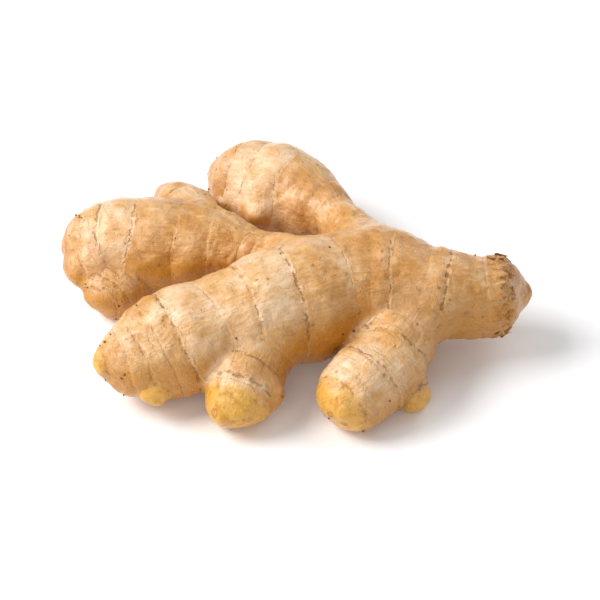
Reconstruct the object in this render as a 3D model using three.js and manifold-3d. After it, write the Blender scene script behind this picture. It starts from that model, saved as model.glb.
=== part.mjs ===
// A fresh ginger root: one grown piece, lying on a table as picked.
// A thick trunk runs along X. Two fingers branch off behind it and two in front, with stubs and
// sprouting buds on them, and every limb carries the ring scars that its scale leaves left.
// Units are millimetres, +Z is up, and the origin is the middle of the footprint, on the table.

import * as THREE from "three";
import { mergeVertices } from "three/addons/utils/BufferGeometryUtils.js";
import Module from "manifold-3d";

// Driving dimensions
const BALL_STEP = 0.8; // spacing of the balls whose envelope is a limb's skin
const ROW_STEP = 3.8; // widest spacing of the rows of vertices along a limb
const SMALL_ROW_STEP = 2.8; // the same on a bud or a stub
const CAP_STEP = 3.4; // spacing of the rows over a limb's round end
const RING_ROWS = [-1.3, -0.2, 0.9]; // rows that carry a ring's shoulder, crest and groove
const RING_CREST = 0.55; // how far a full ring's crest stands out
const RING_GROOVE = 0.45; // how deep its groove is cut
const RING_WIDTH = 0.9; // half the width of a crest
const SWELLING = 0.35; // how far the skin bulges between one ring and the next
const LUMP = 0.5; // height of the slow lumps over the skin
const RING_LEAN = 1.4; // how far the rings lean along their limb
const RING_WAVE = 0.35; // how far they wander
const LEAN_FADE = 9; // length over which the lean dies out towards a limb's ends
const SKIN_COLOUR = 0xd9a86c;
const FULL_TURN = 2 * Math.PI;

// From the drawing's own zero to the middle of the finished footprint, and down by the depth to
// which the lowest skin is pressed flat where it lies on the table
const PRESSED = 0.6;
const FOOTPRINT_SHIFT = new THREE.Vector3(-0.057, 0.113, -PRESSED);

// Limbs, from root to tip. A spine's stations are [x, y, z, radius], and a ring is [how far along
// the spine it lies, how strong it is]. The trunk starts at the old broken end on the right.
const LIMBS = [
  {
    name: "trunk",
    sides: 28,
    spine: [
      [68.8, -10.2, 17, 2.8],
      [66.4, -10.8, 17, 4.9],
      [63.6, -11.9, 17.5, 7.1],
      [60, -12.9, 18, 9.7],
      [56.6, -13.3, 18.3, 12],
      [50.7, -13.9, 19, 12.6],
      [41, -14.1, 20, 14.1],
      [29.2, -12.9, 20.5, 15.5],
      [15.8, -14.4, 21, 16.3],
      [2.4, -19.5, 21, 17.6],
      [-8.8, -23.5, 20.5, 17],
      [-18.2, -26.9, 19.5, 15.6],
      [-25.8, -30.2, 18.5, 15.2],
      [-33.6, -33, 17, 15.8],
      [-40.8, -36.2, 15.7, 13.3],
      [-47, -38.2, 15, 9.6],
      [-51.8, -38.8, 14.2, 4.9],
    ],
    rings: [
      [2.8, 0.7], [8.6, 1.3], [13.2, 0.8], [22, 1.1], [27, 0.4], [34, 0.25], [41.2, 0.9], [48, 0.25],
      [55.1, 0.5], [61, 0.3], [68.4, 0.9], [77, 0.3], [85.4, 0.7], [95.6, 0.4], [107.1, 1], [113, 0.3],
      [118.5, 0.7], [122.5, 0.5], [126, 0.6], [129, 0.5],
    ],
  },
  {
    name: "left_finger",
    sides: 22,
    spine: [
      [3.2, -5, 22, 10],
      [-6, 4.4, 18.4, 7.8],
      [-14.4, 8.9, 17.5, 8.5],
      [-23.7, 11.5, 17, 11],
      [-34.5, 12.6, 16.5, 13.2],
      [-45.3, 13.7, 16, 14],
      [-54.6, 15.6, 15.5, 13.4],
      [-60.7, 15.4, 15, 10.4],
      [-64.8, 13.8, 14.6, 5.8],
    ],
    rings: [
      [15.4, 0.8], [18.2, 0.7], [20.9, 0.8], [26, 0.3], [33.4, 0.6], [40, 0.3], [46.4, 0.6], [56.9, 1],
      [62, 0.3], [67.4, 1], [71.5, 0.6], [75, 0.6], [77.5, 0.5],
    ],
  },
  {
    name: "left_finger_heel",
    sides: 14,
    spine: [
      [-53, 14, 14, 11.5],
      [-58.4, 9.3, 13.2, 9.6],
      [-62.8, 7.2, 12.6, 7],
    ],
    rings: [[9, 0.7], [13, 0.7]],
  },
  {
    name: "left_back_stub",
    sides: 14,
    spine: [
      [-26, 16.8, 18, 8.7],
      [-34.3, 30.9, 17.2, 8],
      [-39.1, 36.3, 16, 5.3],
    ],
    rings: [[11, 0.5], [17.5, 0.8], [22.5, 0.5]],
  },
  {
    name: "left_front_stub",
    sides: 16,
    spine: [
      [-49, 13, 13.5, 11],
      [-52, 5.2, 10, 9.2],
      [-54.9, 0.9, 8.8, 8.6],
    ],
    rings: [[7, 0.7], [11.5, 0.6], [15.5, 0.7], [19, 0.5]],
  },
  {
    name: "back_bulb",
    sides: 22,
    spine: [
      [25.5, -6, 22.6, 12.4],
      [19.9, 8, 20.8, 8.6],
      [14.6, 20.8, 18.8, 7.5],
      [10.4, 28.8, 17.2, 9],
      [6.2, 33.6, 16.5, 11.1],
      [2.3, 37.8, 15.7, 13],
      [-6.5, 43, 15, 14.9],
      [-14.6, 46.5, 15.1, 12.1],
      [-20, 47.9, 15.1, 6.2],
    ],
    rings: [
      [24, 0.6], [28, 0.5], [31.5, 0.7], [36, 0.8], [41, 0.5], [46.5, 0.9], [55, 0.9], [62, 0.3],
      [68.5, 0.8], [74, 0.5], [77.5, 0.7], [81, 0.6], [84, 0.5],
    ],
  },
  {
    name: "front_finger",
    sides: 20,
    spine: [
      [-4.2, -23.4, 19.5, 11.8],
      [-8.8, -31.2, 16.8, 11.5],
      [-12.3, -39.6, 12.5, 10.7],
      [-15.6, -48.2, 10, 9.9],
    ],
    rings: [[10, 0.5], [14.6, 0.7], [20.4, 1], [25.5, 0.4], [30, 0.5], [33.5, 0.5]],
  },
  {
    name: "right_finger",
    sides: 20,
    spine: [
      [40.3, -19, 18.5, 9],
      [35, -26.3, 16.4, 9.5],
      [31.3, -32.3, 14.6, 11],
      [26.4, -39.6, 12.7, 12],
      [21.6, -44.9, 11.7, 11.8],
      [17.8, -48.8, 11, 10.3],
    ],
    rings: [
      [8.5, 0.6], [12.6, 0.9], [17, 0.5], [20.5, 0.8], [24, 0.5], [27.4, 0.7], [31, 0.5], [34.4, 0.7],
      [38, 0.5], [41.5, 0.6], [44.5, 0.5],
    ],
  },
  {
    name: "right_stub",
    sides: 12,
    spine: [
      [29, -36, 10.5, 8.4],
      [33, -41.2, 7.8, 6.7],
      [35.3, -43.6, 6.4, 5.4],
    ],
    rings: [[6, 0.6], [10, 0.6], [13, 0.5]],
  },
  {
    name: "trunk_front_bud",
    sides: 12,
    spine: [
      [-37.4, -39, 11, 6.6],
      [-38.6, -44.5, 10.8, 5.2],
      [-39.4, -47.2, 10.6, 4.5],
    ],
    rings: [[5, 0.7], [8, 0.5]],
  },
  {
    name: "trunk_back_bud",
    sides: 10,
    spine: [
      [-38, -25, 17, 4.4],
      [-42.4, -13.6, 14.2, 3.9],
    ],
    rings: [[8, 0.5]],
  },
];

// Small sprouting buds and tip nipples: [x, y, z, radius] of the root ball and of the tip ball.
const BUDS = {
  back_bulb_low_bud: [[-10, 32, 16, 4.6], [-10.9, 27.4, 17, 3]],
  back_bulb_end_bud: [[-18.5, 41, 13, 4.6], [-21.3, 36.5, 13.5, 3.1]],
  front_finger_nipple: [[-16.6, -52, 10, 4.4], [-20.1, -57, 9.2, 1.2]],
  right_finger_nipple: [[16.8, -51.5, 12, 5], [15.4, -57, 13.2, 1.6]],
  trunk_end_knob: [[-49, -38, 15.4, 7], [-52.9, -40, 15.6, 4.9]],
  collar_shoulder: [[55.5, -9, 20, 5.5], [60.3, -6.6, 22.8, 2.6]],
  front_finger_side_bud: [[-9, -46.5, 10, 6], [-5.8, -48.2, 10, 3.5]],
};
const BUD_SIDES = 10;

const UP = new THREE.Vector3(0, 0, 1);

// A repeatable draw between 0 and 1.
function chance(seed) {
  const x = Math.sin(seed * 12.9898) * 43758.5453;
  return x - Math.floor(x);
}

// A smooth line through the stations, sampled as a chain of balls.
function chainOf(stations) {
  const curve = (points) => new THREE.CatmullRomCurve3(points, false, "catmullrom", 0.5);
  const line = curve(stations.map(([x, y, z]) => new THREE.Vector3(x, y, z)));
  const girth = curve(stations.map(([, , , radius]) => new THREE.Vector3(radius, 0, 0)));
  const steps = Math.ceil(line.getLength() / BALL_STEP);
  const balls = [];
  for (let i = 0; i <= steps; i++) {
    const centre = line.getPoint(i / steps);
    const before = balls[i - 1];
    balls.push({
      centre,
      radius: girth.getPoint(i / steps).x,
      along: before ? before.along + centre.distanceTo(before.centre) : 0,
      tangent: line.getTangent(i / steps),
    });
  }
  return balls;
}

// The place, direction and sideways axes of a chain at a distance along it.
function stationAt(balls, along) {
  let i = 1;
  while (i < balls.length - 1 && balls[i].along < along) i++;
  const [a, b] = [balls[i - 1], balls[i]];
  const share = THREE.MathUtils.clamp((along - a.along) / (b.along - a.along), 0, 1);
  const centre = a.centre.clone().lerp(b.centre, share);
  const tangent = a.tangent.clone().lerp(b.tangent, share).normalize();
  const side = tangent.clone().cross(UP).normalize();
  return { centre, tangent, side, top: side.clone().cross(tangent) };
}

// How far a ray from inside the chain runs before it leaves the last ball.
function reach(balls, from, way) {
  let far = 0;
  for (const { centre, radius } of balls) {
    const to = centre.clone().sub(from);
    const nearest = to.dot(way);
    const spare = nearest * nearest - to.lengthSq() + radius * radius;
    if (spare > 0) far = Math.max(far, nearest + Math.sqrt(spare));
  }
  return far;
}

// How far a ring has slid along its limb at an angle round it: rings lean and wander.
function ringSlide(limb, along, turn) {
  const fade = Math.min(1, along / LEAN_FADE, Math.max(0, limb.length - along) / LEAN_FADE);
  const lean = Math.cos(turn - FULL_TURN * chance(limb.seed) + 0.05 * along);
  const wave = Math.sin(3 * turn + 0.21 * along + limb.seed) + 0.6 * Math.sin(5 * turn - 0.4 * along);
  return fade * (RING_LEAN * lean + RING_WAVE * wave);
}

// Height of the skin above the chain's envelope: ring scars, swellings between them and slow lumps.
function relief(limb, along, turn) {
  const girth = Math.min(1, limb.widest / 12);
  let height = LUMP * girth * (0.6 * Math.sin(2 * turn + 0.11 * along + limb.seed)
    + 0.4 * Math.sin(3 * turn - 0.17 * along + 2 * limb.seed)
    + 0.5 * Math.sin(0.33 * along + turn + 3 * limb.seed));
  limb.rings.forEach(([at, strength], n) => {
    const x = (along - at) / RING_WIDTH;
    const broken = 0.75 + 0.25 * Math.sin(2 * turn + FULL_TURN * chance(limb.seed + n));
    const crest = Math.exp(-((x + 0.2) ** 2));
    const groove = Math.exp(-((x - 1) ** 2) * 1.6);
    height += girth * strength * broken * (RING_CREST * crest - RING_GROOVE * groove);
    const next = limb.rings[n + 1];
    const share = next ? (along - at) / (next[0] - at) : -1;
    if (share > 0 && share < 1) height += girth * SWELLING * Math.sin(Math.PI * share);
  });
  return height;
}

// Where the rows of vertices lie along a limb: on every ring, and evenly in the gaps.
function rowsAlong(limb, step) {
  const marks = limb.rings.flatMap(([at]) => RING_ROWS.map((x) => at + x));
  const fixed = [0, ...marks.filter((x) => x > 0.8 && x < limb.length - 0.8), limb.length];
  const rows = [0];
  for (let i = 1; i < fixed.length; i++) {
    const gap = fixed[i] - fixed[i - 1];
    const parts = Math.max(1, Math.round(gap / step));
    for (let k = 1; k <= parts; k++) rows.push(fixed[i - 1] + (gap * k) / parts);
  }
  return rows;
}

// Rows of vertices over a round end, as [how far past the end the skin is measured, lift angle].
function capRows(radius) {
  const count = Math.max(2, Math.round((radius * Math.PI) / 2 / CAP_STEP));
  const angles = Array.from({ length: count - 1 }, (_, i) => ((i + 1) / count) * (Math.PI / 2));
  return angles.map((lift) => [radius * lift, lift]);
}

// The closed skin of one limb: a pole, the root's cap, the rows along it, the tip's cap, a pole.
function limbGeometry(limb) {
  const balls = chainOf(limb.spine);
  limb.length = balls.at(-1).along;
  limb.widest = Math.max(...balls.map((b) => b.radius));
  const rings = [];
  const addRow = (base, past, lift) => {
    const row = [];
    for (let i = 0; i < limb.sides; i++) {
      const turn = (i / limb.sides) * FULL_TURN;
      const along = THREE.MathUtils.clamp(base + ringSlide(limb, base, turn), 0, limb.length);
      const { centre, tangent, side, top } = stationAt(balls, along);
      const way = top.multiplyScalar(Math.cos(turn)).addScaledVector(side, Math.sin(turn));
      way.multiplyScalar(Math.cos(lift)).addScaledVector(tangent, Math.sin(lift));
      row.push(centre.addScaledVector(way, reach(balls, centre, way) + relief(limb, base + past, turn)));
    }
    rings.push(row);
  };
  const rootCap = capRows(balls[0].radius).reverse();
  rootCap.forEach(([past, lift]) => addRow(0, -past, -lift));
  rowsAlong(limb, limb.sides < 18 ? SMALL_ROW_STEP : ROW_STEP).forEach((along) => addRow(along, 0, 0));
  const tipCap = capRows(balls.at(-1).radius);
  tipCap.forEach(([past, lift]) => addRow(limb.length, past, lift));
  const poles = [0, limb.length].map((along, end) => {
    const { centre, tangent } = stationAt(balls, along);
    const way = tangent.multiplyScalar(end ? 1 : -1);
    return centre.addScaledVector(way, reach(balls, centre, way));
  });
  return skinOf(rings, poles);
}

// Closes a stack of equal rings of points with a pole at each end.
function skinOf(rings, [first, last]) {
  const sides = rings[0].length;
  const points = [...rings.flat(), first, last];
  const [rootPole, tipPole] = [points.length - 2, points.length - 1];
  const faces = [];
  for (let r = 0; r < rings.length - 1; r++) {
    for (let i = 0; i < sides; i++) {
      const [a, b] = [r * sides + i, r * sides + ((i + 1) % sides)];
      faces.push(a, b, b + sides, a, b + sides, a + sides);
    }
  }
  const top = (rings.length - 1) * sides;
  for (let i = 0; i < sides; i++) {
    const next = (i + 1) % sides;
    faces.push(rootPole, next, i);
    faces.push(tipPole, top + i, top + next);
  }
  const geometry = new THREE.BufferGeometry().setFromPoints(points);
  geometry.setIndex(faces);
  return geometry;
}

const wasm = await Module();
wasm.setup();

// A closed geometry as a solid that can be joined and cut.
function solidOf(geometry) {
  const bare = geometry.clone();
  bare.deleteAttribute("normal");
  bare.deleteAttribute("uv");
  const merged = mergeVertices(bare, 1e-3);
  return new wasm.Manifold(new wasm.Mesh({
    numProp: 3,
    vertProperties: merged.attributes.position.array,
    triVerts: new Uint32Array(merged.index.array),
  }));
}

// A solid's own triangles as a geometry for drawing.
function geometryOf(solid) {
  const { vertProperties, triVerts, numProp, numVert } = solid.getMesh();
  const places = new Float32Array(numVert * 3);
  for (let i = 0; i < numVert; i++) places.set(vertProperties.subarray(i * numProp, i * numProp + 3), i * 3);
  const geometry = new THREE.BufferGeometry();
  geometry.setAttribute("position", new THREE.BufferAttribute(places, 3));
  geometry.setIndex(new THREE.BufferAttribute(new Uint32Array(triVerts), 1));
  geometry.computeVertexNormals();
  return geometry;
}

// The table's top: what would sink below it is pressed flat.
function tableBlock() {
  const [size, depth] = [300, 20];
  return new THREE.BoxGeometry(size, size, depth).translate(0, 0, PRESSED - depth / 2);
}

function gingerGeometry() {
  const buds = Object.entries(BUDS).map(([name, spine]) => ({ name, spine, sides: BUD_SIDES, rings: [] }));
  const grown = [...LIMBS, ...buds].map((limb, seed) => solidOf(limbGeometry({ ...limb, seed })));
  const whole = grown.reduce((sum, limb) => sum.add(limb)).subtract(solidOf(tableBlock()));
  return geometryOf(whole).translate(...FOOTPRINT_SHIFT);
}

const skin = new THREE.MeshStandardMaterial({ color: SKIN_COLOUR, roughness: 0.55, metalness: 0 });
const root = new THREE.Mesh(gingerGeometry(), skin);
root.name = "ginger_root";

const ginger = new THREE.Group();
ginger.add(root);
export default ginger;
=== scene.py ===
"""Looks for a fresh ginger root lying on a pale floor.

The root is one grown body. Its skin is drawn over the same limbs as its solid, with the same ring
scars, and the small things that stand on the skin are strewn over it with Geometry Nodes.
Limb shapes are in millimetres, and every finished mesh is in metres.
"""

import logging
import math
from dataclasses import dataclass, field
from enum import Enum
from typing import NamedTuple, Union

import bpy
import numpy as np
from bpy.types import ID, Material, Mesh, Node, NodeTree, Object
from bpy.types import NodeSocket as Socket
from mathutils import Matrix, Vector, noise


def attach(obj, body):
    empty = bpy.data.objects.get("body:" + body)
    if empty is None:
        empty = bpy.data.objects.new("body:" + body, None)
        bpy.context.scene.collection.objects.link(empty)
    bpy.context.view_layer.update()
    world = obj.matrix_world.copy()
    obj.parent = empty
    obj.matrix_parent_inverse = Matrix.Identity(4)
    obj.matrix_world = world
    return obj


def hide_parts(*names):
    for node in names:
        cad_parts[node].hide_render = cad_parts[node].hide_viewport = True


LOG = logging.getLogger("ginger")
NODE = "ginger_root"
SLOT = "ginger_skin"
FLOOR_REACH = 3.0
MM = 0.001
FULL_TURN = 2.0 * math.pi
TRUNK = 0
POINTS_AT_ONCE = 4000

Array = np.ndarray
Triple = tuple[float, float, float]
Rgb = tuple[int, int, int]

# Steps between balls, and heights, widths and reaches of the skin's relief, in millimetres.
BALL_STEP = 0.8
RING_CREST = 0.22
RING_GROOVE = 0.36
RING_WIDTH = 0.7
SWELLING = 0.4
LUMP = 0.5
RING_LEAN = 1.4
RING_WAVE = 0.35
LEAN_FADE = 9.0
FULL_GIRTH = 12.0
SHARP_BLEND = 3.2
FLOW = 0.7
WRINKLE = 0.36
COLLAR_RIM = 5.2
GRAIN_APART = 53.0
BUD_RIM = 0.24
BUD_DIP = 0.2
# From the limbs' own frame to the part's, whose origin is the middle of the footprint.
FOOTPRINT_SHIFT = np.array([-0.057, 0.113, -0.6])
# Each bud scar's place and radius.
BUD_SCARS = ((-21.1, -56.3, 10.7, 1.25), (12.0, -56.9, 11.2, 0.9), (15.2, -58.5, 9.2, 1.0))


class Tone(Enum):
    """How pale one stretch of skin is between two rings, from 0, brown, to 1, palest."""

    BROWN = 0.2
    TAN = 0.38
    PLAIN = 0.5
    FAIR = 0.64
    PALE = 0.84


BROWN, TAN, PLAIN, FAIR, PALE = Tone


@dataclass(frozen=True)
class Ring:
    """A scar that a fallen scale left round a limb.

    Args:
        at: Distance along the limb from its root, in millimetres.
        strength: 1 for a full ring, less for a faint one.
        beyond: Tone of the skin from this ring to the next.
    """

    at: float
    strength: float
    beyond: Tone


@dataclass(frozen=True)
class Limb:
    """One grown limb, drawn as the envelope of balls along a smooth line.

    Args:
        spine: Stations from root to tip, each x, y, z and radius.
        rings: Its ring scars, from root to tip.
        blend: Width over which its skin flows into its neighbours'.
        ripeness: How yellow its tip is, from 0 to 1.
        ripe_from: Distance along it from which it is that yellow.
        ink: How dark its ring lines are, from 0 to 1.
        wrinkled: Where along it the skin is gathered into wrinkles, in millimetres.
        rooty: Beyond what distance along it rubbed-off roots stand thickly.
        golden_shade_and_bruise: How strong the painted orange-gold shade on its underside stays far from its
            root, from 0 to 1.
    """

    spine: tuple[tuple[float, float, float, float], ...]
    rings: tuple[Ring, ...] = ()
    blend: float = 4.0
    ripeness: float = 0.0
    ripe_from: float = 1.0
    ink: float = 0.8
    wrinkled: tuple[float, float] = (0.0, 0.0)
    rooty: float = 999.0
    golden_shade_and_bruise: float = 1.0


LIMBS = {
    "trunk": Limb(
        (
            (68.8, -10.2, 17, 2.8), (66.4, -10.8, 17, 4.9), (63.6, -11.9, 17.5, 7.1), (60, -12.9, 18, 9.7),
            (56.6, -13.3, 18.3, 12), (50.7, -13.9, 19, 12.6), (41, -14.1, 20, 14.1),
            (29.2, -12.9, 20.5, 15.5), (15.8, -14.4, 21, 16.3), (2.4, -19.5, 21, 17.6),
            (-8.8, -23.5, 20.5, 17), (-18.2, -26.9, 19.5, 15.6), (-25.8, -30.2, 18.5, 15.2),
            (-33.6, -33, 17, 15.8), (-40.8, -36.2, 15.7, 13.3), (-47, -38.2, 15, 9.6),
            (-51.8, -38.8, 14.2, 4.9),
        ),
        (
            Ring(-9, 0, BROWN), Ring(4.6, 0.3, TAN), Ring(12.2, 0.3, PLAIN), Ring(23.4, 1, PLAIN),
            Ring(29, 0.15, TAN), Ring(41.2, 0.7, TAN), Ring(48, 0.1, TAN), Ring(56.5, 0.35, FAIR),
            Ring(72.3, 0.85, PALE), Ring(85.4, 0.5, FAIR), Ring(95.6, 0.25, PALE), Ring(107.1, 1, FAIR),
            Ring(113, 0.3, FAIR), Ring(118.5, 0.5, FAIR), Ring(123.5, 0.35, PLAIN), Ring(128, 0.35, TAN),
        ),
        ink=0.85, rooty=126.0,
    ),
    "left_finger": Limb(
        (
            (3.2, -5, 22, 10), (-6, 4.4, 18.4, 7.8), (-14.4, 8.9, 17.5, 8.5), (-23.7, 11.5, 17, 11),
            (-34.5, 12.6, 16.5, 13.2), (-45.3, 13.7, 16, 14), (-54.6, 15.6, 15.5, 13.4),
            (-60.7, 15.4, 15, 10.4), (-64.8, 13.8, 14.6, 5.8),
        ),
        (
            Ring(15.4, 0.5, PLAIN), Ring(20.9, 0.5, PLAIN), Ring(33.4, 0.3, TAN), Ring(44, 0.25, TAN),
            Ring(57.5, 0.8, PALE), Ring(67.8, 0.9, FAIR), Ring(73, 0.4, PLAIN), Ring(77, 0.4, TAN),
        ),
        blend=6.0, wrinkled=(4.0, 42.0), rooty=73.0,
    ),
    "left_finger_heel": Limb(
        ((-53, 14, 14, 11.5), (-58.4, 9.3, 13.2, 9.6), (-62.8, 7.2, 12.6, 7)),
        (Ring(9, 0.5, PLAIN), Ring(14, 0.6, TAN)),
        blend=3.0, ink=0.6, rooty=13.0,
    ),
    "left_back_stub": Limb(
        ((-26, 16.8, 18, 8.7), (-34.3, 30.9, 17.2, 8), (-39.1, 36.3, 16, 5.3)),
        (Ring(11, 0.5, FAIR), Ring(17.5, 0.8, PLAIN), Ring(22.5, 0.5, TAN)),
        blend=5.0,
    ),
    "left_front_stub": Limb(
        ((-49, 13, 13.5, 11), (-52, 5.2, 10, 9.2), (-54.9, 0.9, 8.8, 8.6)),
        (
            Ring(6, 0.8, FAIR), Ring(11.5, 0.5, PLAIN), Ring(16, 0.6, TAN), Ring(20.5, 0.5, TAN),
        ),
        blend=1.8, ripeness=0.3, ripe_from=13.0, ink=0.7, rooty=21.0,
    ),
    "back_bulb": Limb(
        (
            (25.5, -6, 22.6, 12.4), (19.9, 8, 20.8, 8.6), (14.6, 20.8, 18.8, 7.5), (10.4, 28.8, 17.2, 9),
            (6.2, 33.6, 16.5, 11.1), (2.3, 37.8, 15.7, 13), (-6.5, 43, 15, 14.9), (-14.6, 46.5, 15.1, 12.1),
            (-20, 47.9, 15.1, 6.2),
        ),
        (
            Ring(18, 0.3, PLAIN), Ring(31.5, 0.5, TAN), Ring(38, 0.3, PLAIN), Ring(51.8, 0.35, PALE),
            Ring(64, 0.55, PALE), Ring(72, 0.4, PLAIN), Ring(77.5, 0.5, TAN), Ring(82, 0.4, TAN),
        ),
        blend=9.0, ink=0.7, wrinkled=(10.0, 48.0), rooty=73.0, golden_shade_and_bruise=0.2,
    ),
    "front_finger": Limb(
        (
            (-4.2, -23.4, 19.5, 11.8), (-8.8, -31.2, 16.8, 11.5), (-12.3, -39.6, 12.5, 10.7),
            (-15.6, -48.2, 10, 9.9),
        ),
        (
            Ring(14.6, 0.25, FAIR), Ring(21.4, 0.6, FAIR), Ring(28.4, 0.85, PALE), Ring(32.5, 0.25, FAIR),
        ),
        ripeness=0.95, ripe_from=31.0,
    ),
    "right_finger": Limb(
        (
            (40.3, -19, 18.5, 9), (35, -26.3, 16.4, 9.5), (31.3, -32.3, 14.6, 11), (26.4, -39.6, 12.7, 12),
            (21.6, -44.9, 11.7, 11.8), (17.8, -48.8, 11, 10.3),
        ),
        (
            Ring(10.5, 0.15, PLAIN), Ring(18, 1, FAIR), Ring(22.5, 0.2, FAIR), Ring(26, 0.25, PALE),
            Ring(30, 0.9, PALE), Ring(34.5, 0.25, PALE), Ring(38.5, 0.2, PALE), Ring(42.5, 0.3, FAIR),
        ),
        ripeness=0.7, ripe_from=42.0, ink=0.75, golden_shade_and_bruise=0.7,
    ),
    "right_stub": Limb(
        ((29, -36, 10.5, 8.4), (33, -41.2, 7.8, 6.7), (35.3, -43.6, 6.4, 5.4)),
        (Ring(7, 0.5, PLAIN), Ring(11.5, 1, PALE)),
        blend=2.0, ripeness=1.0, ripe_from=12.0,
    ),
    "trunk_front_bud": Limb(
        ((-37.4, -39, 11, 6.6), (-38.6, -44.5, 10.8, 5.2), (-39.4, -47.2, 10.6, 4.5)),
        (Ring(5.4, 0.9, PLAIN),),
        blend=1.2, ripeness=1.0, ripe_from=5.0,
    ),
    "trunk_back_bud": Limb(
        ((-38, -25, 17, 4.4), (-42.4, -13.6, 14.2, 3.9)),
        (Ring(8, 0.5, PLAIN),),
        blend=2.5, ripeness=0.7, ripe_from=8.0,
    ),
    "back_bulb_low_bud": Limb(((-10, 32, 16, 4.6), (-10.9, 27.4, 17, 3)), blend=5.0, ripeness=0.15),
    "back_bulb_end_bud": Limb(((-18.5, 41, 13, 4.6), (-21.3, 36.5, 13.5, 3.1)), blend=1.5, ripeness=0.5),
    "front_finger_nipple": Limb(
        ((-16.6, -52, 10, 4.4), (-19.6, -56.2, 9.6, 1.4)),
        blend=6.0, ripeness=0.95, ink=1.0,
    ),
    "right_finger_nipple": Limb(
        ((16.8, -51.5, 12, 5), (15.4, -57, 13.2, 1.6)),
        (Ring(5.2, 0.5, FAIR),),
        blend=6.0, ripeness=0.55,
    ),
    "trunk_end_knob": Limb(((-49, -38, 15.4, 7), (-52.9, -40, 15.6, 4.9)), blend=2.0, ripeness=0.9),
    "collar_shoulder": Limb(((55.5, -9, 20, 5.5), (60.3, -6.6, 22.8, 2.6)), blend=3.0),
    "front_finger_side_bud": Limb(((-9, -46.5, 10, 6), (-5.8, -48.2, 10, 3.5)), blend=4.0, ripeness=0.2),
}


def chance(seed: float) -> float:
    """Returns a repeatable draw between 0 and 1."""
    x = math.sin(seed * 12.9898) * 43758.5453
    return x - math.floor(x)


def smooth_step(low: float, high: float, value: Array) -> Array:
    """Returns 0 below low, 1 above high and a smooth rise between them."""
    t = np.clip((value - low) / (high - low), 0.0, 1.0)
    return t * t * (3.0 - 2.0 * t)


def hump(value: Array, centre: float, width: float) -> Array:
    """Returns 1 at the centre, falling off smoothly on both sides over a width."""
    return np.exp(-(((value - centre) / width) ** 2))


def smooth_line(stations: Array, count: int) -> Array:
    """Draws a smooth line through stations, evenly in their numbering.

    Args:
        stations: One row of numbers for each station.
        count: How many points to draw.

    Returns:
        The drawn points, one row each.
    """
    first = 2.0 * stations[0] - stations[1]
    last = 2.0 * stations[-1] - stations[-2]
    knots = np.vstack([first, stations, last])
    place = np.linspace(0.0, len(stations) - 1.0, count)
    step = np.minimum(place.astype(int), len(stations) - 2)
    t = (place - step)[:, None]
    before, start, end, after = (knots[step + i] for i in range(4))
    out, into = 0.5 * (end - before), 0.5 * (after - start)
    return (
        (2.0 * start - 2.0 * end + out + into) * t**3
        + (-3.0 * start + 3.0 * end - 2.0 * out - into) * t**2
        + out * t
        + start
    )


def unit(vectors: Array) -> Array:
    """Returns the rows scaled to length 1."""
    return vectors / np.maximum(np.linalg.norm(vectors, axis=-1, keepdims=True), 1e-9)


class Reading(NamedTuple):
    """What one limb says about a set of points.

    Args:
        gap: Distance from each point to the limb's skin, negative inside.
        outward: Direction from the limb's line to each point.
        along: Distance along the limb, carried on over its round ends.
        turn: Angle round the limb.
        across: Place beside and above the limb's line.
        lengthwise: The limb's own direction there.
    """

    gap: Array
    outward: Array
    along: Array
    turn: Array
    across: Array
    lengthwise: Array


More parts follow.
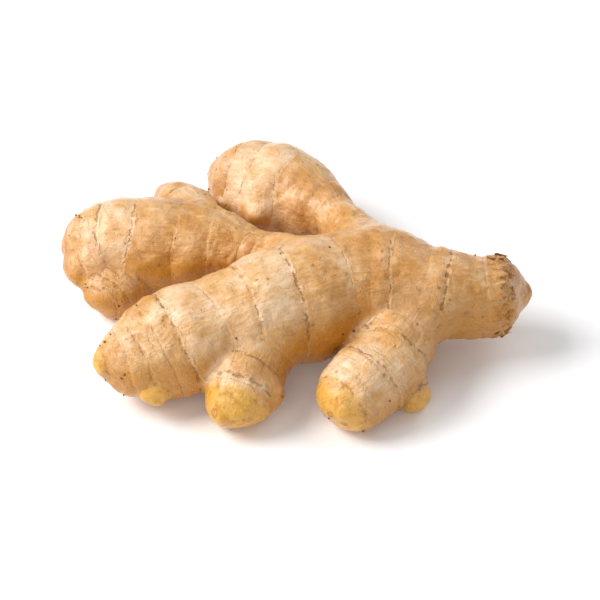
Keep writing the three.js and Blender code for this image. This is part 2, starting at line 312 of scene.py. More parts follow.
@dataclass
class Chain:
    """The balls along one limb, and what follows from them.

    Args:
        limb: The limb that the balls draw.
        seed: The limb's own number, which settles its waver and lumps.
    """

    limb: Limb
    seed: int
    centres: Array = field(init=False)
    radii: Array = field(init=False)
    runs: Array = field(init=False)
    tangents: Array = field(init=False)

    def __post_init__(self) -> None:
        """Samples the limb's line and girth."""
        stations = np.array(self.limb.spine, float)
        rough = smooth_line(stations[:, :3], 400)
        length = np.linalg.norm(np.diff(rough, axis=0), axis=1).sum()
        points = smooth_line(stations, math.ceil(length / BALL_STEP) + 1)
        self.centres, self.radii = points[:, :3], points[:, 3]
        steps = np.linalg.norm(np.diff(self.centres, axis=0), axis=1)
        self.runs = np.concatenate([[0.0], np.cumsum(steps)])
        self.tangents = unit(np.gradient(self.centres, axis=0))

    @property
    def length(self) -> float:
        """Length of the limb's line."""
        return float(self.runs[-1])

    def read(self, points: Array) -> Reading:
        """Measures points against this limb.

        Args:
            points: Places in millimetres, one row each.

        Returns:
            The reading at every point.
        """
        chunks = np.array_split(points, max(1, len(points) // POINTS_AT_ONCE))
        return Reading(*map(np.concatenate, zip(*map(self._read_some, chunks))))

    def _read_some(self, points: Array) -> Reading:
        """Measures points at once, finding the nearest ball and the place between it and its neighbours.

        Args:
            points: A few thousand places in millimetres, one row each.

        Returns:
            The reading at every point.
        """
        squares = (points**2).sum(1)[:, None] - 2.0 * points @ self.centres.T + (self.centres**2).sum(1)
        gaps = np.sqrt(np.maximum(squares, 0.0)) - self.radii
        nearest = np.clip(gaps.argmin(1), 1, len(self.radii) - 2)
        row = np.arange(len(points))
        before, here, after = (gaps[row, nearest + i] for i in (-1, 0, 1))
        bend = np.maximum(before - 2.0 * here + after, 1e-9)
        place = nearest + np.clip(0.5 * (before - after) / bend, -1.0, 1.0)
        step = np.minimum(place.astype(int), len(self.radii) - 2)
        share = (place - step)[:, None]

        def between(values: Array) -> Array:
            """Returns values taken between two balls."""
            return values[step] * (1.0 - share) + values[step + 1] * share

        centre, radius = between(self.centres), between(self.radii[:, None])[:, 0]
        tangent = unit(between(self.tangents))
        away = points - centre
        distance = np.linalg.norm(away, axis=1)
        outward = unit(away)
        side = unit(np.cross(tangent, np.array([0.0, 0.0, 1.0])))
        top = np.cross(side, tangent)
        sideways, upward = (away * side).sum(1), (away * top).sum(1)
        turn = np.arctan2(sideways, upward)
        run = between(self.runs[:, None])[:, 0] + (away * tangent).sum(1)
        past = np.maximum(run - self.length, 0.0) - np.maximum(-run, 0.0)
        lift = np.arctan2(past, np.hypot(sideways, upward))
        end_radius = np.where(past > 0.0, self.radii[-1], self.radii[0])
        run = np.clip(run, 0.0, self.length) + end_radius * lift
        return Reading(distance - radius, outward, run, turn, np.stack([sideways, upward], 1), tangent)

    def unslid(self, reading: Reading) -> Array:
        """Takes out the lean and the waver of the rings.

        Args:
            reading: What the limb says about the points.

        Returns:
            How far along the limb each point would be if no ring leaned or wandered.
        """
        run = reading.along
        for _ in range(2):
            inside = np.clip(run, 0.0, self.length)
            fade = np.clip(np.minimum(inside, self.length - inside) / LEAN_FADE, 0.0, 1.0)
            lean = np.cos(reading.turn - FULL_TURN * chance(self.seed) + 0.05 * run)
            wave = np.sin(3.0 * reading.turn + 0.21 * run + self.seed)
            wave = wave + 0.6 * np.sin(5.0 * reading.turn - 0.4 * run)
            run = reading.along - fade * (RING_LEAN * lean + RING_WAVE * wave)
        return run

    def relief(self, run: Array, turn: Array, off: Array) -> Array:
        """Height of the skin over the balls: ring scars, swellings between them and slow lumps.

        Args:
            run: Distance along the limb with the rings' lean taken out.
            turn: Angle round the limb.
            off: Distance from the limb's middle line, since lumps die out at a limb's very tip.

        Returns:
            The height at each point, in millimetres.
        """
        girth = min(1.0, self.radii.max() / FULL_GIRTH)
        height = 0.6 * np.sin(2.0 * turn + 0.11 * run + self.seed)
        height += 0.4 * np.sin(3.0 * turn - 0.17 * run + 2.0 * self.seed)
        height += 0.5 * np.sin(0.33 * run + turn + 3.0 * self.seed)
        height *= LUMP * girth * smooth_step(0.5, 6.0, off)
        rings = self.limb.rings
        for n, ring in enumerate(rings):
            x = (run - ring.at) / RING_WIDTH
            broken = 0.6 + 0.4 * np.sin(2.0 * turn + FULL_TURN * chance(self.seed + n))
            crest = hump(x, -0.2, 1.0)
            groove = np.exp(-((x - 1.0) ** 2) * 1.6)
            height += girth * ring.strength * broken * (RING_CREST * crest - RING_GROOVE * groove)
            if n + 1 < len(rings):
                reach = rings[n + 1].at - ring.at
                share = np.clip((run - ring.at) / reach, 0.0, 1.0)
                height += girth * min(1.0, reach / FULL_GIRTH) * SWELLING * np.sin(math.pi * share)
        return height

    def nearest_ring(self, run: Array) -> tuple[Array, Array, Array]:
        """Finds the ring nearest to each point.

        Args:
            run: Distance along the limb with the rings' lean taken out.

        Returns:
            Signed distance to that ring, its strength, and the tone of the skin at the point.
        """
        if not self.limb.rings:
            return np.full_like(run, 9.0), np.zeros_like(run), np.full_like(run, Tone.FAIR.value)
        marks = np.array([ring.at for ring in self.limb.rings])
        strengths = np.array([ring.strength for ring in self.limb.rings])
        away = run[:, None] - marks
        nearest = np.abs(away).argmin(1)
        tones = np.array([self.limb.rings[0].beyond.value] + [r.beyond.value for r in self.limb.rings])
        tone = np.full_like(run, tones[0])
        for n, mark in enumerate(marks):
            tone += (tones[n + 1] - tones[n]) * smooth_step(-0.4, 0.5, run - mark)
        return away[np.arange(len(run)), nearest], strengths[nearest], tone

    def tip(self, along: Array) -> Array:
        """Returns how far each point is into the limb's ripe yellow tip, from 0 to 1."""
        return smooth_step(self.limb.ripe_from - 4.0, self.limb.ripe_from + 5.0, along)


@dataclass
class Skin:
    """What the whole root says about the points of its skin.

    Args:
        gap: Distance to the root's smooth surface, negative inside.
        slope: Direction in which that distance grows.
        crease: 1 where a bud or lobe meets the root sharply, less where limbs flow together.
    """

    gap: Array
    slope: Array
    crease: Array


@dataclass
class GrownBody:
    """The whole root as a smooth union of its limbs' chains.

    Args:
        chains: One chain for each limb.
    """

    chains: list[Chain] = field(
        default_factory=lambda: [Chain(limb, seed) for seed, limb in enumerate(LIMBS.values())]
    )

    def read_all(self, points: Array) -> list[Reading]:
        """Returns every limb's reading of the points."""
        return [chain.read(points) for chain in self.chains]

    def unite(self, readings: list[Reading]) -> Skin:
        """Joins the limbs' readings, each flowing into those before it over its own blend width.

        Args:
            readings: One reading for each limb, at the same points.

        Returns:
            The united surface's distance, slope and crease.
        """
        gap, slope = readings[0].gap.copy(), readings[0].outward.copy()
        crease = np.zeros_like(gap)
        for chain, reading in zip(self.chains[1:], readings[1:]):
            blend = chain.limb.blend
            overlap = np.clip(1.0 - np.abs(gap - reading.gap) / blend, 0.0, 1.0)
            share = np.where(reading.gap < gap, 1.0 - 0.5 * overlap, 0.5 * overlap)[:, None]
            depth = 1.0 if blend < SHARP_BLEND else 0.25
            crease = np.maximum(crease * (1.0 - share[:, 0]), depth * overlap)
            gap = np.minimum(gap, reading.gap) - 0.25 * blend * overlap**2
            slope = slope * (1.0 - share) + reading.outward * share
        return Skin(gap, slope, crease)

    def settle(self, points: Array, rounds: int = 4) -> Array:
        """Moves points onto the united surface.

        Args:
            points: Places near the surface, one row each.
            rounds: How many steps to take.

        Returns:
            The moved points.
        """
        for _ in range(rounds):
            skin = self.unite(self.read_all(points))
            size = np.maximum((skin.slope**2).sum(1, keepdims=True), 0.2)
            points = points - np.clip(skin.gap[:, None], -2.0, 2.0) * skin.slope / size
        return points


def cloud(points: Array, size: Union[float, Triple], start: float) -> Array:
    """Reads a smooth random pattern.

    Args:
        points: Where to read it, one row each.
        size: Size of its blobs, one for all axes or one for each, in the points' own unit.
        start: Picks one pattern out of many.

    Returns:
        Its height at each point, about -1 to 1.
    """
    scaled = points / np.array(size) + np.array([start, 0.37 * start, -0.61 * start])
    return np.array([noise.noise(Vector(row)) for row in scaled])


def ragged_edge(local: Array) -> Array:
    """Returns how far along the trunk the collar's torn edge strays at each place round it."""
    return np.clip(3.0 * cloud(local * (0.0, 1.0, 1.0), 2.4, 21.0), -2.0, 2.5)


def eye_distance(points: Array, middles: Array, radii: Array) -> Array:
    """Returns how far each point is from the nearest bud scar's middle, in that scar's radii."""
    away = [np.linalg.norm(points - middle, axis=1) / radius for middle, radius in zip(middles, radii)]
    return np.minimum(9.0, np.min(away, axis=0))


def dents(points: Array) -> Array:
    """Returns the height of small uneven dents and lumps at places on the skin, in millimetres."""
    broad, middle, fine = cloud(points, 8.0, 3.0), cloud(points, 3.2, 9.0), cloud(points, 1.5, 13.0)
    pits = np.minimum(cloud(points, 4.5, 17.0) + 0.22, 0.0)
    return 0.6 * broad + 0.32 * middle + 0.12 * fine + 0.7 * pits


def srgb(*channels: int) -> tuple[float, ...]:
    """Turns a colour as a screen shows it, 0 to 255, into the linear one that a shader takes."""
    shares = [channel / 255.0 for channel in channels]
    linear = [c / 12.92 if c <= 0.04045 else ((c + 0.055) / 1.055) ** 2.4 for c in shares]
    return (*linear, 1.0)


Value = Union[float, tuple, Socket]


class NodeBuilder:
    """A tree of nodes that is built a call at a time."""

    tree: NodeTree

    def node(self, kind: str, inputs: dict[Union[str, int], object], **settings: object) -> Node:
        """Adds a node.

        Args:
            kind: The node's type name.
            inputs: Values or links for its sockets, by name or number.
            **settings: Its own properties.

        Returns:
            The new node.
        """
        made = self.tree.nodes.new(kind)
        for key, value in settings.items():
            setattr(made, key, value)
        for key, value in inputs.items():
            if isinstance(value, Socket):
                self.tree.links.new(value, made.inputs[key])
            else:
                made.inputs[key].default_value = value
        return made


class Shader(NodeBuilder):
    """The nodes of one material."""

    def __init__(self, name: str) -> None:
        """Starts an empty material.

        Args:
            name: The material's name.
        """
        self.material = bpy.data.materials.new(name)
        self.material.use_nodes = True
        self.tree = self.material.node_tree
        self.tree.nodes.clear()

    def attribute(self, name: str, vector: bool = False) -> Socket:
        """Returns a number or a vector kept on the mesh."""
        made = self.node("ShaderNodeAttribute", {}, attribute_name=name)
        return made.outputs["Vector" if vector else "Fac"]

    def place(self) -> Socket:
        """Returns the place on the root in millimetres."""
        source = self.node("ShaderNodeTexCoord", {}).outputs["Object"]
        return self.scaled(source, (1000.0, 1000.0, 1000.0))

    def scaled(self, vector: Socket, scale: Triple) -> Socket:
        """Returns a vector stretched along its axes."""
        return self.node("ShaderNodeMapping", {"Vector": vector, "Scale": scale}).outputs[0]

    def noise(self, vector: Socket, scale: float, detail: float = 3.0, rough: float = 0.55) -> Socket:
        """Returns a cloudy pattern between 0 and 1, with scale blobs to the unit."""
        inputs = {"Vector": vector, "Scale": scale, "Detail": detail, "Roughness": rough}
        return self.node("ShaderNodeTexNoise", inputs).outputs[0]

    def span(self, value: Socket, low: float, high: float, to: tuple[float, float] = (0.0, 1.0)) -> Socket:
        """Returns the value's stretch from low to high, spread smoothly over another stretch."""
        inputs = {"Value": value, "From Min": low, "From Max": high, "To Min": to[0], "To Max": to[1]}
        return self.node("ShaderNodeMapRange", inputs, interpolation_type="SMOOTHSTEP").outputs[0]

    def sum(self, *values: Value) -> Socket:
        """Returns the values added up."""
        return self._fold("ADD", values)

    def product(self, *values: Value) -> Socket:
        """Returns the values multiplied together."""
        return self._fold("MULTIPLY", values)

    def _fold(self, operation: str, values: tuple[Value, ...]) -> Socket:
        """Puts values together two at a time.

        Args:
            operation: The sum to do with each two.
            values: Numbers or links.

        Returns:
            What is left in the end.
        """
        total = values[0]
        for value in values[1:]:
            total = self.node("ShaderNodeMath", {0: total, 1: value}, operation=operation).outputs[0]
        return total

    def bell(self, value: Socket, centre: float, width: float) -> Socket:
        """Returns 1 where the value is at the centre, falling to 0 a width away on both sides."""
        off = self.node("ShaderNodeMath", {0: value, 1: -centre}, operation="ADD").outputs[0]
        size = self.node("ShaderNodeMath", {0: off}, operation="ABSOLUTE").outputs[0]
        return self.span(size, 0.0, width, (1.0, 0.0))

    def mix(self, share: Value, first: Value, second: Value) -> Socket:
        """Returns two colours mixed."""
        return self.node("ShaderNodeMix", {0: share, 6: first, 7: second}, data_type="RGBA").outputs[2]

    def swing(self, pattern: Socket, strength: Value) -> Socket:
        """Returns a pattern moved from 0 to 1 to swing evenly about 0, times a strength."""
        return self.product(self.sum(pattern, -0.5), strength)

    def over(self, colour: Socket, tint: Rgb, *shares: Value) -> Socket:
        """Returns the colour with a tint laid over it, as strongly as the product of the shares."""
        return self.mix(self.product(*shares), colour, srgb(*tint))

    def bump(self, height: Socket, strength: float, distance: float) -> Socket:
        """Returns a surface direction tilted by a height pattern, distance in metres."""
        inputs = {"Height": height, "Strength": strength, "Distance": distance}
        return self.node("ShaderNodeBump", inputs).outputs[0]

    def surface(self, **inputs: Value) -> Material:
        """Ends the material with its surface shader.

        Args:
            **inputs: The shader's sockets, with spaces in their names as underscores.

        Returns:
            The finished material.
        """
        named = {key.replace("_", " "): value for key, value in inputs.items()}
        body = self.node("ShaderNodeBsdfPrincipled", named)
        self.node("ShaderNodeOutputMaterial", {"Surface": body.outputs[0]})
        return self.material


class SkinShader(Shader):
    """The skin's nodes, with the patterns that its colour and its relief share."""

    def __init__(self) -> None:
        """Starts the material and draws its streaks, broad patches, blotches and specks."""
        super().__init__(SLOT)
        self.at, self.grain = self.place(), self.attribute("grain", vector=True)
        strands = self.noise(self.scaled(self.grain, (0.17, 1.0, 1.0)), 1.0, 4.0, 0.6)
        steady = self.span(self.attribute("seam"), 0.0, 1.0, (1.0, 0.0))
        self.fibres = self.sum(self.swing(strands, steady), 0.5)
        self.clouds, self.mottle = self.noise(self.at, 0.12), self.noise(self.at, 0.5, 4.0, 0.62)
        self.grit = self.noise(self.at, 2.4, 3.0, 0.6)


@dataclass(frozen=True)
class RhizomeSkin:
    """Thin papery ginger skin over juicy flesh, with ring lines, fibres, blotches and ripe tips, and painted
    shade on its undersides and in its creases.
    """

    pale: Rgb = (246, 211, 171)
    rosy: Rgb = (236, 185, 134)
    fair: Rgb = (227, 173, 107)
    tan: Rgb = (198, 134, 56)
    brown: Rgb = (158, 90, 22)
    dark: Rgb = (106, 52, 6)
    ripe: Rgb = (234, 175, 62)
    # Painted shade: this orange-gold is laid on the undersides and lower sides in place of the shade and
    # bounce light there; it also colours real bruises near the tips.
    golden_shade_and_bruise: Rgb = (202, 134, 12)

    def material(self) -> Material:
        """Builds the skin's material."""
        s = SkinShader()
        crackle = self._crackle(s)
        marked, line, edge = self._rings(s, self._flesh(s))
        colour, spots = self._spots(s, marked)
        height = s.sum(
            s.product(s.fibres, 0.5),
            s.product(s.mottle, 0.5),
            s.product(s.grit, 0.16),
            s.product(crackle, -0.18),
            s.product(edge, 0.3),
            s.product(line, -0.8),
            s.product(spots, -0.2),
        )
        return s.surface(
            Base_Color=s.over(colour, self.brown, 0.1, crackle),
            Roughness=s.span(s.sum(s.mottle, s.fibres), 0.7, 1.3, (0.27, 0.44)),
            Normal=s.bump(height, 0.85, 0.0011),
            Specular_IOR_Level=0.5,
            Subsurface_Weight=0.04,
            Subsurface_Radius=(0.7, 0.5, 0.25),
            Subsurface_Scale=0.003,
            Coat_Weight=0.48,
            Coat_Roughness=0.26,
        )

    def _crackle(self, s: SkinShader) -> Socket:
        """Draws a net of fine broken creases in the papery skin.

        Args:
            s: The material being built.

        Returns:
            The creases' pattern.
        """
        bend = s.node("ShaderNodeTexNoise", {"Vector": s.at, "Scale": 0.35}).outputs[1]
        shift = {0: s.at, 1: s.scaled(bend, (3.0, 3.0, 3.0))}
        bent = s.node("ShaderNodeVectorMath", shift, operation="ADD").outputs[0]
        inputs = {"Vector": bent, "Scale": 0.26}
        net = s.node("ShaderNodeTexVoronoi", inputs, feature="DISTANCE_TO_EDGE").outputs[0]
        broken = s.span(s.noise(s.at, 0.4, 3.0, 0.6), 0.5, 0.62)
        return s.product(s.span(net, 0.0, 0.05, (1.0, 0.0)), broken)

    def _flesh(self, s: SkinShader) -> Socket:
        """Colours the bare skin, with painted orange-gold shade on its undersides and ripe tips.

        Args:
            s: The material being built.

        Returns:
            The colour.
        """
        tip = s.attribute("tip")
        pallor = s.sum(
            s.product(s.attribute("tone"), 0.65),
            0.19,
            s.swing(s.clouds, 1.0),
            s.swing(s.fibres, 0.4),
            s.swing(s.mottle, 0.4),
        )
        colour = s.mix(s.span(pallor, 0.2, 0.68), srgb(*self.tan), srgb(*self.fair))
        colour = s.over(colour, self.pale, s.span(pallor, 0.5, 0.95))
        colour = s.over(colour, self.rosy, 0.4, s.span(s.noise(s.at, 0.09, 2.0, 0.5), 0.52, 0.66))
        # Painted shade: skin that faces down, or lies near the floor, turns orange-gold in place of the shade
        # and bounce light there.
        painted_underside_shade = s.span(s.sum(s.attribute("painted_underside_shade"), s.swing(s.clouds, 0.5)), 0.02, 0.78)
        colour = s.over(colour, self.golden_shade_and_bruise, 0.94, painted_underside_shade)
        # Brown stain patches, kept to the lower sides where the painted shade is about half strong, so they
        # deepen that painted shade too.
        stain = s.span(s.noise(s.at, 0.17, 4.0, 0.65), 0.56, 0.7)
        colour = s.over(colour, self.brown, 0.6, stain, s.bell(painted_underside_shade, 0.6, 0.5))
        patchy = s.product(s.sum(s.swing(s.mottle, 1.4), s.swing(s.fibres, 0.9)), s.bell(tip, 0.5, 0.45))
        colour = s.over(colour, self.ripe, 0.85, s.span(s.sum(tip, patchy), 0.15, 0.85))
        # Real bruises near the ripe tips, in the same orange-gold as the painted shade.
        bruise = s.span(s.noise(s.at, 0.3, 4.0, 0.6), 0.5, 0.64)
        return s.over(colour, self.golden_shade_and_bruise, 0.7, s.span(tip, 0.05, 0.5), bruise)

    def _rings(self, s: SkinShader, colour: Socket) -> tuple[Socket, Socket, Socket]:
        """Draws the ring scars: a broken brown line with a pale edge and short stitches across it.

        Args:
            s: The material being built.
            colour: The skin's colour without rings.

        Returns:
            The colour with rings, the line's pattern and the edge's pattern.
        """
        waver = s.sum(s.swing(s.mottle, 2.2), s.swing(s.grit, 0.8))
        ring, force = s.sum(s.attribute("ring_gap"), waver), s.attribute("ring_force")
        breaks = s.noise(s.at, 0.3, 3.0, 0.6)
        present = s.product(force, s.span(breaks, 0.43, 0.58))
        edge = s.product(s.bell(ring, -0.5, 0.6), force, s.span(breaks, 0.42, 0.56, (1.0, 0.0)))
        line = s.product(s.bell(ring, 0.35, 0.5), present)
        core = s.product(s.bell(ring, 0.4, 0.3), present, s.span(s.grit, 0.42, 0.58))
        across = s.noise(s.scaled(s.grain, (0.3, 1.0, 1.0)), 2.2, 2.0, 0.5)
        patches = s.product(s.span(across, 0.58, 0.68), s.span(s.mottle, 0.45, 0.6))
        colour = s.over(colour, self.pale, 0.4, edge)
        colour = s.over(colour, self.brown, 0.4, s.bell(ring, 0.4, 2.2), force, patches)
        colour = s.over(colour, self.brown, 0.7, line)
        return s.over(colour, self.dark, 0.4, core), line, edge

    def _spots(self, s: SkinShader, colour: Socket) -> tuple[Socket, Socket]:
        """Adds blemishes and painted shade: the worn collar, painted shade in the creases, rough tips and
        scattered root scars.

        Args:
            s: The material being built.
            colour: The skin's colour so far.

        Returns:
            The colour with blemishes and the root scars' pattern.
        """
        frayed = s.noise(s.scaled(s.grain, (0.35, 1.0, 1.0)), 1.1, 3.0, 0.6)
        scar, rooty = s.attribute("scar"), s.attribute("rooty")
        colour = s.over(colour, self.brown, 0.38, scar, s.span(frayed, 0.46, 0.58))
        colour = s.over(colour, self.dark, 0.4, scar, s.span(frayed, 0.56, 0.66))
        # Painted shade: browner in patches in the creases where buds and lobes meet the root.
        crease = s.span(s.attribute("crease"), 0.5, 1.0)
        colour = s.over(colour, self.brown, 0.3, crease, s.span(s.mottle, 0.3, 0.6))
        eye = s.sum(s.attribute("eye"), s.swing(s.grit, 0.9))
        colour = s.over(colour, self.tan, s.span(eye, 0.7, 1.5, (0.45, 0.0)))
        colour = s.over(colour, self.brown, 0.6, s.bell(eye, 0.95, 0.5))
        colour = s.over(colour, self.brown, s.span(eye, 0.1, 0.5, (0.6, 0.0)))
        colour = s.over(colour, self.brown, 0.4, rooty, s.span(s.mottle, 0.48, 0.64))
        dots = s.node("ShaderNodeTexVoronoi", {"Vector": s.at, "Scale": 0.3}).outputs
        pick = s.node("ShaderNodeSeparateColor", {0: dots["Color"]}).outputs[0]
        chosen = s.span(s.sum(pick, s.product(rooty, 0.25)), 0.84, 0.87)
        reach = s.sum(dots["Distance"], s.swing(s.grit, 0.16))
        spots = s.product(s.span(reach, 0.08, 0.2, (1.0, 0.0)), chosen)
        return s.over(colour, self.brown, 0.6, spots), spots


@dataclass(frozen=True)
class DryScale:
    """Dry brown remains of scales and roots that stand on the skin."""

    name: str
    light: Rgb
    deep: Rgb
    roughness: float = 0.75

    def material(self) -> Material:
        """Builds the dry finish."""
        s = Shader(self.name)
        place = s.place()
        streaks = s.noise(place, 1.3, 4.0, 0.65)
        colour = s.mix(s.span(streaks, 0.35, 0.65), srgb(*self.deep), srgb(*self.light))
        return s.surface(
            Base_Color=colour,
            Roughness=self.roughness,
            Normal=s.bump(streaks, 0.5, 0.0003),
            Specular_IOR_Level=0.3,
        )


@dataclass(frozen=True)
class PaleFloor:
    """A smooth white sweep with no pattern of its own."""

    colour: Rgb = (252, 252, 253)

    def material(self) -> Material:
        """Builds the floor's finish."""
        s = Shader("pale_floor")
        cloud = s.noise(s.place(), 0.02, 2.0, 0.5)
        colour = s.mix(s.product(cloud, 0.05), srgb(*self.colour), srgb(246, 246, 247))
        return s.surface(
            Base_Color=colour,
            Roughness=0.9,
            Specular_IOR_Level=0.1,
            Emission_Color=srgb(255, 255, 255),
            Emission_Strength=0.08,
        )


def new_object(name: str, data: ID) -> Object:
    """Puts a mesh, lamp or camera in the scene as an object at the origin."""
    made = bpy.data.objects.new(name, data)
    bpy.context.scene.collection.objects.link(made)
    return made


def made_plain(source: Object, name: str) -> Object:
    """Turns an object with live modifiers into one with a plain mesh.

    Args:
        source: The object, which is removed.
        name: The new object's name.

    Returns:
        The new object, with no modifier.
    """
    graph = bpy.context.evaluated_depsgraph_get()
    mesh = bpy.data.meshes.new_from_object(source.evaluated_get(graph), depsgraph=graph)
    mesh.name = name
    bpy.data.objects.remove(source)
    return new_object(name, mesh)


def closed_tube(name: str, rings: list[list[Triple]]) -> Object:
    """Draws a closed shape through rings of points.

    Args:
        name: The new object's name.
        rings: The rings from one end to the other, each turning anticlockwise seen from the far end.

    Returns:
        The new object.
    """
    sides, last = len(rings[0]), len(rings) - 1
    faces = [tuple(reversed(range(sides))), tuple(last * sides + i for i in range(sides))]
    for a in range(0, last * sides, sides):
        for i in range(sides):
            j = (i + 1) % sides
            faces.append((a + i, a + j, a + sides + j, a + sides + i))
    mesh = bpy.data.meshes.new(name)
    mesh.from_pydata([point for ring in rings for point in ring], [], faces)
    return new_object(name, mesh)


def coordinates(mesh: Mesh) -> Array:
    """Returns a mesh's vertices in millimetres, one row each."""
    values = np.empty(len(mesh.vertices) * 3)
    mesh.vertices.foreach_get("co", values)
    return values.reshape(-1, 3) / MM


@dataclass
class RootSkin:
    """The root's skin as one fine mesh, drawn over the solid's own limbs.

    Args:
        voxel: Size of the even net that the skin starts from, in millimetres.
        finish: What it looks like.
        body: The root's limbs, joined.
    """

    voxel: float = 1.3
    finish: RhizomeSkin = field(default_factory=RhizomeSkin)
    body: GrownBody = field(default_factory=GrownBody)

    def build(self, solid: Object) -> Object:
        """Draws the skin.

        Args:
            solid: The root's faceted solid, which is left as it is.

        Returns:
            The finished skin.
        """
        skin = self._even_net(solid)
        self._draw(skin)
        skin.data.polygons.foreach_set("use_smooth", [True] * len(skin.data.polygons))
        skin.data.materials.clear()
        skin.data.materials.append(self.finish.material())
        return skin

    def _even_net(self, solid: Object) -> Object:
        """Covers a copy of the solid with an even net of small faces.

        Args:
            solid: The root's faceted solid.

        Returns:
            The net, as a plain mesh.
        """
        copy = new_object("net", solid.data.copy())
        weld = copy.modifiers.new("weld", "WELD")
        weld.merge_threshold = 2e-6
        remesh = copy.modifiers.new("remesh", "REMESH")
        remesh.mode = "VOXEL"
        remesh.voxel_size = self.voxel * MM
        finer = copy.modifiers.new("finer", "SUBSURF")
        finer.levels = finer.render_levels = 1
        return made_plain(copy, "root_skin")

    def _draw(self, skin: Object) -> None:
        """Moves the net onto the limbs' surface, raises its relief and keeps what the finish reads.

        Args:
            skin: The net.
        """
        mesh = skin.data
        ground = self.body.settle(coordinates(mesh) - FOOTPRINT_SHIFT)
        readings = self.body.read_all(ground)
        united = self.body.unite(readings)
        gaps = np.stack([reading.gap for reading in readings])
        shares = np.exp(-(gaps - gaps.min(0)) / FLOW)
        shares /= shares.sum(0)
        runs = [chain.unslid(reading) for chain, reading in zip(self.body.chains, readings)]
        heights = [
            chain.relief(run, reading.turn, np.linalg.norm(reading.across, axis=1))
            for chain, run, reading in zip(self.body.chains, runs, readings)
        ]
        height = (shares * np.stack(heights)).sum(0) + dents(ground)
        height += self._gathers(readings, runs, gaps.argmin(0))
        scars = np.array(BUD_SCARS)
        eye = eye_distance(ground, self.body.settle(scars[:, :3]), scars[:, 3])
        height += BUD_RIM * hump(eye, 1.1, 0.4) - BUD_DIP * hump(eye, 0.0, 0.6)
        placed = ground + unit(united.slope) * height[:, None] + FOOTPRINT_SHIFT
        placed[:, 2] = np.maximum(placed[:, 2], 0.0)
        mesh.vertices.foreach_set("co", (placed * MM).astype(np.float32).ravel())
        self._keep(mesh, readings, runs, shares, united, eye)
        mesh.update()

    def _gathers(self, readings: list[Reading], runs: list[Array], owner: Array) -> Array:
        """Draws what lies on single limbs: wrinkled necks and the frayed collar.

        Args:
            readings: What each limb says about the skin's points.
            runs: Distance along each limb with the rings' lean taken out.
            owner: Which limb each point is on.

        Returns:
            The height at each point, in millimetres.
        """
        height = np.zeros(len(owner))
        for n, (chain, reading, run) in enumerate(zip(self.body.chains, readings, runs)):
            low, high = chain.limb.wrinkled
            mine = owner == n
            local = np.column_stack([run, reading.across])[mine]
            if high > low:
                fade = smooth_step(low, low + 5.0, run[mine])
                fade = fade * (1.0 - smooth_step(high - 10.0, high, run[mine]))
                bent = local + 2.4 * cloud(local, 5.0, 31.0)[:, None]
                folds = cloud(bent, (1.9, 5.0, 5.0), 5.0) + 0.6 * cloud(bent, (1.1, 3.0, 3.0), 6.0)
                height[mine] += WRINKLE * fade * folds
            if n == TRUNK:
                height[mine] += self._collar(local)
        return height

    def _collar(self, local: Array) -> Array:
        """Returns the height of the trunk's frayed collar: a ragged rim that a smooth cone leaves.

        Args:
            local: Distance along the trunk, and place beside and above its line, one row each.

        Returns:
            The height at each point, in millimetres.
        """
        run = local[:, 0]
        rim = smooth_step(-0.45, 0.45, run - COLLAR_RIM - ragged_edge(local))
        fade = 1.0 - smooth_step(6.5, 13.0, run)
        flaps = cloud(local, (4.2, 1.5, 1.5), 23.0)
        smooth = 0.45 * hump(run, 5.0, 2.4)
        return smooth + rim * fade * (0.2 + 1.15 * flaps)

    def _keep(
        self,
        mesh: Mesh,
        readings: list[Reading],
        runs: list[Array],
        shares: Array,
        united: Skin,
        eye: Array,
    ) -> None:
        """Keeps on the mesh the numbers that the finishes read.

        Args:
            mesh: The drawn skin.
            readings: What each limb says about its points.
            runs: Distance along each limb with the rings' lean taken out.
            shares: How far each point is each limb's own.
            united: The limbs joined.
            eye: Distance to the nearest bud scar, in its radii.
        """
        owner, count = shares.argmax(0), shares.shape[1]
        numbers = {name: np.zeros(count) for name in ("ring_gap", "ring_force", "tone", "tip", "rooty")}
        grain, lengthwise, golden_shade_and_bruise = np.zeros((count, 3)), np.zeros((count, 3)), np.zeros(count)
        for n, (chain, reading, run) in enumerate(zip(self.body.chains, readings, runs)):
            mine = owner == n
            ring_gap, strength, tone = chain.nearest_ring(run)
            near = 1.0 - smooth_step(2.0, 3.0, np.abs(ring_gap))
            numbers["ring_gap"][mine] = ring_gap[mine]
            numbers["ring_force"][mine] = (chain.limb.ink * near * np.minimum(1.0, strength))[mine]
            numbers["rooty"] += shares[n] * smooth_step(chain.limb.rooty - 5.0, chain.limb.rooty, run)
            numbers["tone"] += shares[n] * tone
            numbers["tip"] += shares[n] * chain.limb.ripeness * chain.tip(reading.along)
            # How strong each limb lets the painted underside shade be: full near its root, its own share
            # further out.
            golden_shade_and_bruise += shares[n] * (1.0 - (1.0 - chain.limb.golden_shade_and_bruise) * smooth_step(18.0, 34.0, run))
            local = np.column_stack([reading.along + GRAIN_APART * n, reading.across])
            grain[mine], lengthwise[mine] = local[mine], reading.lengthwise[mine]
        trunk = runs[TRUNK]
        past = trunk - ragged_edge(np.column_stack([trunk, readings[TRUNK].across]))
        worn = smooth_step(4.2, 5.6, past) * (1.0 - smooth_step(8.5, 13.5, past))
        numbers["scar"] = np.where(owner == TRUNK, worn, 0.0)
        numbers["crease"] = united.crease
        numbers["eye"] = eye
        numbers["seam"] = 1.0 - smooth_step(0.5, 1.0, 2.0 * shares.max(0) - 1.0)
